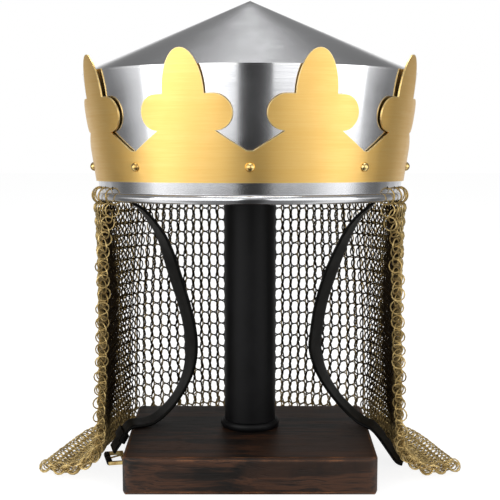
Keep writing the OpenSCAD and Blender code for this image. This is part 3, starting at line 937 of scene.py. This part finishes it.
@dataclass
class Straps:
    """Two leather chin straps with their keeper, along the CAD's courses.

    Each row of a course holds its share of the way up, its way out, its way back, its rise and its turn
    from Y, in millimetres and degrees. The share mixes the skull's radius and the rim's height with the
    base's edge and top.
    """

    shop: Workshop
    width: float = 24 * MM
    thick: float = 2.2 * MM
    edge: float = 0.6 * MM
    upper: tuple[Floats, ...] = (
        (1, -3.3, -9.1, 28, 5), (1, -4.2, -9, 20, 5), (1, -5.3, -9, 13, 5), (1, -6.3, -9, 9.5, 6),
    )
    left: tuple[Floats, ...] = (
        (1, -8.9, -8, 5.5, 8), (1, -13.5, -7, 1.4, 10), (0.98, -20.5, -4.2, 0.5, 14),
        (0.95, -29.4, -1.4, 0.3, 18), (0.89, -38, 1.1, 0, 20.8), (0.81, -45.2, 4.5, -0.5, 24.6),
        (0.68, -50.3, 7.4, -0.6, 29), (0.5, -56.2, 11, 0.5, 27), (0.38, -57.5, 14, 0.9, 26),
        (0.28, -54.8, 16.7, 0.4, 21.7), (0.19, -48.3, 19.5, 1, 15.6), (0.12, -38.7, 21.2, -0.9, 12),
        (0.05, -27.1, 20.5, 0.8, 12), (0.02, -17.5, 18.4, 0.1, 12), (0.01, -9.2, 15.8, 0.2, 12),
        (0.01, -3.4, 13.6, 0.2, 12), (0.01, 1, 11.8, -0.4, 12), (0, 4.8, 10.5, -1.5, 12),
        (0, 8.2, 9.8, -6.9, 12), (0, 11.4, 9.1, -12.2, 12), (0, 14, 8.6, -16, 12), (0, 16, 8.2, -19.4, 12),
    )
    right: tuple[Floats, ...] = (
        (1, -9.1, -8, 5.5, 8), (1, -14.5, -6, 0, 11), (0.95, -23.4, -3.4, 0.3, 16),
        (0.89, -32, -0.9, 1, 20.4), (0.81, -39.2, 1.5, 0, 24.4), (0.68, -46.3, 5.4, -0.1, 29),
        (0.54, -51.2, 9.3, 0.2, 27), (0.42, -52.5, 11.4, -0.9, 26), (0.35, -51.9, 13.8, 0.2, 25),
        (0.28, -47.8, 16.2, -0.1, 20.6), (0.21, -40.7, 18.7, -0.9, 16.2), (0.13, -29.9, 19.7, 0.1, 12),
        (0.07, -18.6, 18.5, 0.3, 12), (0.03, -8.7, 15.9, 0.1, 12), (0.01, -2.2, 13.5, 0.9, 12),
        (0, 2.8, 11.7, 0.9, 12), (0, 7, 10.2, -2.5, 12), (0, 11.4, 9, -8, 12), (0, 16, 8, -14.5, 12),
        (0, 19.8, 7.3, -20, 12), (0, 22.8, 6.7, -24.2, 12), (0, 25.8, 6.2, -27, 12),
        (0, 29.4, 5.6, -28.1, 12),
    )
    end_turn: float = math.radians(12)
    fold_radius: float = 2 * MM
    fold_thick: float = 1.2 * MM
    fold_start: float = math.radians(30)
    fold_sweep: float = math.radians(285)
    prong_gap: float = 1.1 * MM
    keeper_room: Floats = (2.5 * MM, 2.3 * MM)
    keeper_height: float = 7.9 * MM
    keeper_corner: float = 1 * MM
    keeper_thick: float = 1.5 * MM
    thin_edge: float = 0.3 * MM

    def build(self) -> None:
        """Makes both straps, the fold round the buckle's bar and the keeper."""
        self.strap("chin_strap_left", self.left, -1, "strap_left")
        self.strap("chin_strap_right", self.right, 1, "strap_right")
        self.fold()
        self.keeper()

    def route(self, rows: Sequence[Floats], side: int) -> list[Vector]:
        """The points that rows of a course give.

        Args:
            rows: The rows.
            side: -1 on the left, 1 on the right.

        Returns:
            The middle of the strap.
        """
        helmet = self.shop.helmet
        _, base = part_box("base_block")
        return [
            Vector((
                side * (share * helmet.radius + (1 - share) * base[0] + out * MM),
                back * MM + share * helmet.rim_y,
                share * helmet.rim_z + (1 - share) * base[2] + rise * MM,
            ))
            for share, out, back, rise, _ in rows
        ]

    def strap(self, name: str, course: Sequence[Floats], side: int, node: str) -> None:
        """Makes one strap along its course.

        Args:
            name: The piece's name.
            course: The course below its upper rows.
            side: -1 on the left, 1 on the right.
            node: The CAD node that it replaces.
        """
        rows = (*self.upper, *course)
        line = smooth_line(self.route(rows, side), 4)
        turns = smooth_line([row[3:] for row in rows], 4)

        def on_strap(u: float, v: float) -> Vector:
            """A point of the strap's middle surface.

            Args:
                u: The share across.
                v: The share along.

            Returns:
                The point.
            """
            turn = math.radians(along(turns, v).y)
            across = Vector((side * math.sin(turn), math.cos(turn), 0))
            return along(line, v) + across * ((u - 0.5) * self.width)

        bm = draped(on_strap, columns=8, rows=len(line) - 1)
        piece = self.shop.add(name, settled(bm), STRAP, Slot.STRAP)
        thicken(piece, self.thick, self.edge)
        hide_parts(node)

    def fold(self) -> None:
        """The skived leather that loops round the bar, split for the prong."""
        low, high = (Vector(corner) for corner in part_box("buckle_bar"))
        level = Matrix.Rotation(self.end_turn, 3, "Z")
        half = (self.width / 2 - self.prong_gap) / 2

        def on_fold(side: int, u: float, v: float) -> Vector:
            """A point of one half of the loop.

            Args:
                side: -1 or 1.
                u: The share across.
                v: The share round.

            Returns:
                The point.
            """
            turn = self.fold_start + self.fold_sweep * v
            across = side * (self.prong_gap + half) + (u - 0.5) * 2 * half
            lift = Vector((math.cos(turn) * self.fold_radius, across, math.sin(turn) * self.fold_radius))
            return (low + high) / 2 + level @ lift

        bm = None
        for side in (-1, 1):
            bm = draped(partial(on_fold, side), columns=3, rows=20, bm=bm)
        piece = self.shop.add("chin_strap_fold", settled(bm), STRAP, Slot.STRAP)
        thicken(piece, self.fold_thick, self.thin_edge)
        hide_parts("strap_fold")

    def keeper(self) -> None:
        """The leather band that holds the strap's fold together."""
        route = self.route(self.left, -1)
        low, high = route[-3], route[-5]
        lean = math.atan2(math.hypot(high.x - low.x, high.y - low.y), high.z - low.z)
        bm = bmesh.new()
        bmesh.ops.create_cube(bm, size=1.0)
        caps = [f for f in bm.faces if abs(f.normal.z) > 0.5]
        bmesh.ops.delete(bm, geom=caps, context="FACES_ONLY")
        size = (self.thick + self.keeper_room[0], self.width + self.keeper_room[1], self.keeper_height, 1)
        turned = Matrix.Rotation(self.end_turn, 4, "Z") @ Matrix.Rotation(lean, 4, "Y")
        shape = Matrix.Translation((low + high) / 2) @ turned @ Matrix.Diagonal(size)
        bmesh.ops.transform(bm, matrix=shape, verts=bm.verts)
        round_edges(bm, [e for e in bm.edges if len(e.link_faces) == 2], self.keeper_corner)
        piece = self.shop.add("leather_keeper", settled(bm), STRAP, Slot.STRAP)
        thicken(piece, self.keeper_thick, self.thin_edge)
        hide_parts("strap_keeper")


@dataclass
class Mail:
    """The curtain of linked rings, woven four in one, and the rings that it hangs from.

    Pairs of values are for even and odd rows. Angles are counted from the back, and distances from the
    nearer front edge in columns.
    """

    shop: Workshop
    ring_radius: float = 5.2 * MM
    wire_radius: float = 0.56 * MM
    pitch: float = math.radians(3.53)
    rows: int = 46
    columns: int = 68
    yaws: Floats = (math.radians(33), math.radians(-81))
    swing: float = math.radians(34)
    lying_yaw: float = math.radians(42)
    free_yaws: Floats = (math.radians(20), math.radians(120))
    free_reach: float = 2.5
    flare: float = 6.5 * MM
    flare_reach: float = 1.4
    flare_rows: int = 5
    gather: float = 0.17
    middle_radius: float = 119 * MM
    bend_radius: float = 30 * MM
    bend_height: float = 34.3 * MM
    first_drop: float = 9.2 * MM
    hem_reach: float = 17 * MM
    hem_wave: float = 4 * MM
    hem_waves: int = 7
    corner_push: float = 14.3 * MM
    corner_width: float = math.radians(12)
    belly: float = 7 * MM
    belly_width: float = math.radians(22)
    waist: float = 5 * MM
    waist_turn: float = math.radians(88)
    side_width: float = math.radians(15)
    wobble_turn: float = math.radians(1.6)
    wobble_place: float = 0.1 * MM
    loose: float = 4.0
    loose_reach: float = 1.2
    table_gap: float = 0.1 * MM
    probe: float = 1.5 * MM
    probe_turn: float = 0.01
    # Painted light at the sides and front edges, and painted shade just inside an edge.
    side_light: float = 0.62
    side_turn: float = math.radians(72)
    edge_light: float = 1.3
    edge_reach: float = 0.9
    inner_dark: float = 0.12
    inner_place: float = 4.5
    inner_width: float = 3.2
    # Painted shade on the rings' inward sides, and how it fades towards the table.
    mean_painted_shade: float = 0.85
    shade_fade_height: float = 50 * MM
    shade_at_table: float = 0.25
    seed: int = 11

    def build(self) -> None:
        """Makes the links in three pieces and dresses the hanging rings."""
        chance = random.Random(self.seed)
        template = settled(wire_ring(self.ring_radius, self.wire_radius, turns=12, sides=6))
        bounds = (0, 16, 32, self.rows)
        names = ("mail_upper_rows", "mail_middle_rows", "mail_lower_rows")
        for name, start, end in zip(names, bounds, bounds[1:]):
            places = [p for row in range(start, end) for p in self.row(row, chance)]
            mesh = self.stamped(template, places, chance)
            piece = self.shop.add(name, mesh, LINKS, Slot.MAIL)
            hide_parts("mail_curtain")
        bpy.data.meshes.remove(template)
        self.shop.dress(LINKS, "hanging_rings")

    @cached_property
    def corner_turn(self) -> float:
        """The angle at which the base's rear corner pushes the curtain out."""
        _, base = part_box("base_block")
        return math.atan2(base[0], base[1] - self.shop.helmet.rim_y)

    def length(self, turn: float) -> float:
        """How long the curtain is from its first row to the hem at an angle."""
        return self.top(turn) - self.bend_height + self.bend_radius * math.pi / 2 + self.hem_reach

    def top(self, turn: float) -> float:
        """The first row's height at an angle."""
        helmet = self.shop.helmet
        return helmet.rim_z - self.first_drop - helmet.radius * math.cos(turn) * math.sin(helmet.lean)

    def surface(self, turn: float, down: float) -> Vector:
        """A point of the curtain's middle surface.

        Args:
            turn: Its angle.
            down: Distance down the curtain from its first row.

        Returns:
            The point.
        """
        straight = self.top(turn) - self.bend_height
        bent = min(max((down - straight) / self.bend_radius, 0.0), math.pi / 2)
        laid = max(down - straight - self.bend_radius * math.pi / 2, 0.0)
        share = (bent / (math.pi / 2) + laid / self.hem_reach) / 2
        fall = min(max(down / straight, 0.0), 1.0)
        edge = abs(turn) / (self.pitch * (self.columns - 1) / 2)
        height = self.bend_height + straight - down
        if down >= straight:
            height = self.bend_height - self.bend_radius * math.sin(bent)
        turn *= 1 - self.gather * (fall**1.5 + share) / 2 * edge**2
        side = abs(turn)
        wave = self.hem_wave * share * math.cos(self.hem_waves * turn)
        swell = self.belly * hump(side, self.corner_turn, self.belly_width)
        swell -= self.waist * hump(side, self.waist_turn, self.side_width)
        push = self.corner_push * hump(side, self.corner_turn, self.corner_width) * fall**2
        push = push * (1 - min(laid / self.hem_reach, 1.0)) + swell * math.sin(math.pi * fall)
        radius = self.middle_radius + self.bend_radius * (1 - math.cos(bent)) + laid + wave + push
        return Vector((radius * math.sin(turn), radius * math.cos(turn) + self.shop.helmet.rim_y, height))

    def lay(self, turn: float, out: Vector, odd: int, from_edge: float) -> float:
        """How far a ring is turned from the curtain's surface.

        Hanging rings are turned so that they keep facing the open front. Lying ones lean evenly.

        Args:
            turn: The ring's angle.
            out: The way out of the curtain's surface.
            odd: 1 in every second row.
            from_edge: The ring's distance from the nearer front edge.

        Returns:
            The angle about the way up, mirrored on the two sides of the back.
        """
        if abs(turn) < 1e-6:
            return math.pi / 2
        lying = min(abs(out.z), 1.0)
        facing = abs(math.atan2(out.x, out.y))
        woven = self.yaws[odd] + min(facing, self.swing)
        free = facing - self.free_yaws[odd]
        hanging = woven + (free - woven) * max(1 - from_edge / self.free_reach, 0.0)
        leaning = math.copysign(self.lying_yaw, self.yaws[odd])
        return (hanging + (leaning - hanging) * lying) * math.copysign(1.0, turn)

    def row(self, row: int, chance: random.Random) -> list[tuple[Matrix, float]]:
        """Where one row's rings lie.

        Args:
            row: The row's number from the top.
            chance: The seeded source of irregularity.

        Returns:
            Each ring's matrix, with what its place adds to its painted shade.
        """
        odd = row % 2
        count = self.columns - odd
        places = []
        for index in range(count):
            turn = (index - (count - 1) / 2) * self.pitch
            down = row * self.length(turn) / (self.rows - 0.5)
            from_edge = min(index, count - 1 - index) + odd / 2
            loose = 1.0 + self.loose * math.exp(-from_edge / self.loose_reach)
            middle = self.surface(turn, down)
            rise = self.surface(turn, down - self.probe) - self.surface(turn, down + self.probe)
            rise.normalize()
            across = self.surface(turn - self.probe_turn, down) - self.surface(turn + self.probe_turn, down)
            out = across.cross(rise).normalized()
            frame = Matrix((rise.cross(out) * -1, out, rise)).transposed()
            yaw = self.lay(turn, out, odd, from_edge) + chance.gauss(0, self.wobble_turn * loose)
            tilt = chance.gauss(0, self.wobble_turn * loose)
            turned = frame @ Matrix.Rotation(yaw, 3, "Z") @ Matrix.Rotation(tilt, 3, "X")
            middle += Vector([chance.gauss(0, self.wobble_place * loose) for _ in range(3)])
            flare = self.flare * math.exp(-from_edge / self.flare_reach)
            middle += out * (flare * min(row / self.flare_rows, 1.0))
            reach = self.ring_radius * math.sqrt(1 - turned.col[1].z ** 2) + self.wire_radius
            middle.z = max(middle.z, reach + self.table_gap)
            places.append((Matrix.Translation(middle) @ turned.to_4x4(), self.shade(turn, from_edge)))
        return places

    def shade(self, turn: float, from_edge: float) -> float:
        """What a ring's place adds to its painted shade: painted light at the sides and edges, more painted
        shade just inside an edge.

        Args:
            turn: The ring's angle.
            from_edge: Its distance from the nearer front edge.

        Returns:
            The share to add.
        """
        light = self.side_light * hump(abs(turn), self.side_turn, self.side_width)
        light += self.edge_light * math.exp(-from_edge / self.edge_reach)
        return self.inner_dark * hump(from_edge, self.inner_place, self.inner_width) - light

    def stamped(self, template: Mesh, places: list[tuple[Matrix, float]], chance: random.Random) -> Mesh:
        """Copies the link to every place in one mesh and gives each copy its tone and painted shade.

        Args:
            template: One link.
            places: Matrices, each with what it adds to the ring's painted shade.
            chance: The seeded source of tones.

        Returns:
            The mesh.
        """
        size = len(template.vertices)
        corner = np.zeros(size * 3)
        template.vertices.foreach_get("co", corner)
        corner = np.hstack((corner.reshape(-1, 3), np.ones((size, 1))))
        faces = np.array([tuple(p.vertices) for p in template.polygons])
        points = np.concatenate([(corner @ np.array(m).T)[:, :3] for m, _ in places])
        shift = (np.arange(len(places)) * size)[:, None, None]
        mesh = bpy.data.meshes.new("links")
        mesh.from_pydata(points.tolist(), [], (faces[None] + shift).reshape(-1, faces.shape[1]).tolist())
        tones = np.repeat([chance.random() for _ in places], size)
        middles = np.repeat([m.to_translation()[:] for m, _ in places], size, axis=0)
        extra = np.repeat([shade for _, shade in places], size)
        outward = (middles - (0.0, self.shop.helmet.rim_y, 0.0)) * (1, 1, 0)
        outward /= np.linalg.norm(outward, axis=1)[:, None]
        # Painted shade: each ring's side that faces into the curtain is darker, less so near the table.
        facing = ((points - middles) * outward).sum(axis=1) / self.ring_radius
        low = np.clip(middles[:, 2] / self.shade_fade_height, 0, 1)
        age = np.clip(self.mean_painted_shade * (1 - facing) + extra, 0, 1)
        age *= self.shade_at_table + (1 - self.shade_at_table) * low
        for label, values in (("tone", tones), ("age", age)):
            mesh.attributes.new(label, "FLOAT", "POINT").data.foreach_set("value", values.astype(np.float32))
        return mesh


# Stage


@dataclass
class Studio:
    """White floor and surroundings, soft lamps and the photograph's camera."""

    camera_place: Floats = (0.0, -1.050, 0.3263)
    camera_pitch: float = 0.1391
    focal: float = 1310.0
    picture: float = 500.0
    aim: Floats = (0, 0, 0.2)
    floor_size: float = 3.0
    floor_sink: float = 0.3 * MM
    floor_white: float = 0.72
    floor_squeeze: float = 1.2

    def build(self) -> None:
        """Sets the stage."""
        self.camera()
        self.floor()
        self.world()
        self.lamp("key", (-0.95, -1.1, 0.52), (2.0, 1.2), 15.5)
        self.lamp("fill", (1.05, -0.95, 0.52), (2.0, 1.2), 9.5)
        self.lamp("top", (0.0, 0.1, 1.5), (1.1, 1.1), 12.0)

    def camera(self) -> None:
        """The camera stands before the helmet and looks slightly down."""
        data = bpy.data.cameras.new("camera")
        data.angle = 2 * math.atan(self.picture / 2 / self.focal)
        data.clip_start = 0.05
        camera = placed("camera", data, self.camera_place)
        camera.rotation_euler = (math.pi / 2 - self.camera_pitch, 0, 0)
        bpy.context.scene.camera = camera

    @staticmethod
    def bands(w: Wiring, way: Socket, squeeze: float = 1.0) -> Socket:
        """Dark and bright sides round the object, for its metal to mirror.

        Args:
            w: The wiring of the floor or the world.
            way: The place or direction that is seen.
            squeeze: How far the bands are drawn together towards the front.

        Returns:
            The grey's socket.
        """
        x, y, _ = w.split(way)
        turn = w.math("ABSOLUTE", w.math("ARCTAN2", x, w.times(y, -1.0)))
        return w.greys(w.math("DIVIDE", turn, math.pi / squeeze), (
            (0.0, 0.036), (0.045, 0.053), (0.08, 0.16), (0.133, 0.215), (0.19, 0.26), (0.233, 0.31),
            (0.28, 0.41), (0.344, 0.72), (0.42, 0.96), (0.478, 1.0), (0.53, 0.66), (0.58, 0.367),
            (0.63, 0.167), (0.70, 0.147), (0.77, 0.28), (0.87, 0.567), (1.0, 0.8),
        ))

    def floor(self) -> None:
        """A pale floor that shows white to the camera, keeps the object's shadow, and to mirrors glows with
        painted bright and dark bands.
        """
        bm = bmesh.new()
        bmesh.ops.create_grid(bm, x_segments=1, y_segments=1, size=self.floor_size)
        made = bpy.data.materials.new("pale_floor")
        made.use_nodes = True
        w = Wiring(made.node_tree)
        cloth = w.node("BsdfDiffuse", {"Color": (0.9, 0.9, 0.9, 1)})
        white = w.glow("Emission", WHITE, 1.2)
        # Painted light: the floor glows with bright and dark bands that only the metal's reflections see.
        mirrored = w.glow("Emission", self.bands(w, w.coords(), self.floor_squeeze), 1.05)
        seen, glossy = w.rays()
        w.finish(w.choose(glossy, w.choose(w.times(seen, self.floor_white), cloth, white), mirrored))
        mesh = settled(bm)
        mesh.materials.append(made)
        placed("floor", mesh, (0, 0, -self.floor_sink))

    def world(self) -> None:
        """White behind the object, grey light around it, and dark and bright sides for metal to show."""
        world = bpy.data.worlds.new("studio")
        bpy.context.scene.world = world
        world.use_nodes = True
        w = Wiring(world.node_tree)
        way = w.node("TexCoord").outputs["Generated"]
        x, _, rise = w.split(way)
        ceiling = ((0.5, 0.24), (0.6, 0.34), (0.66, 0.48), (0.71, 0.66), (0.8, 0.84), (1.0, 0.84))
        above = w.greys(rise, ceiling)
        dimmed = w.mix(0.72, above, (0.08, 0.08, 0.08, 1))
        above = w.mix(w.span(w.math("ABSOLUTE", x), 0.0, 0.24), above, dimmed)
        sides = w.mix(w.span(rise, 0.06, 0.26), self.bands(w, way), above)
        around = w.glow("Background", WHITE, 0.45)
        mirrored = w.glow("Background", sides, 1.5)
        white = w.glow("Background", WHITE, 1.0)
        seen, glossy = w.rays()
        w.finish(w.choose(seen, w.choose(glossy, around, mirrored), white), "OutputWorld")

    def lamp(self, name: str, place: Floats, size: Floats, power: float) -> None:
        """A soft lamp aimed at the helmet.

        Args:
            name: The lamp's name.
            place: Where it hangs.
            size: Its width and height.
            power: Its power in watts.
        """
        data = bpy.data.lights.new(name, "AREA")
        data.shape = "RECTANGLE"
        data.size, data.size_y = size
        data.energy = power
        lamp = placed(name, data, place)
        lamp.rotation_euler = (Vector(self.aim) - Vector(place)).to_track_quat("-Z", "Y").to_euler()


def main() -> None:
    """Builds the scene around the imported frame."""
    logging.basicConfig(level=logging.INFO, format="%(name)s: %(message)s")
    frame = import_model()
    bpy.context.scene.view_settings.view_transform = "Standard"
    shop = Workshop(frame, HelmetPlace())
    for part in (Stand(shop), Skull(shop), Liner(shop), Straps(shop), Mail(shop)):
        part.build()
        LOG.info("%s is built", type(part).__name__)
    Studio().build()


if __name__ == "__main__":
    main()
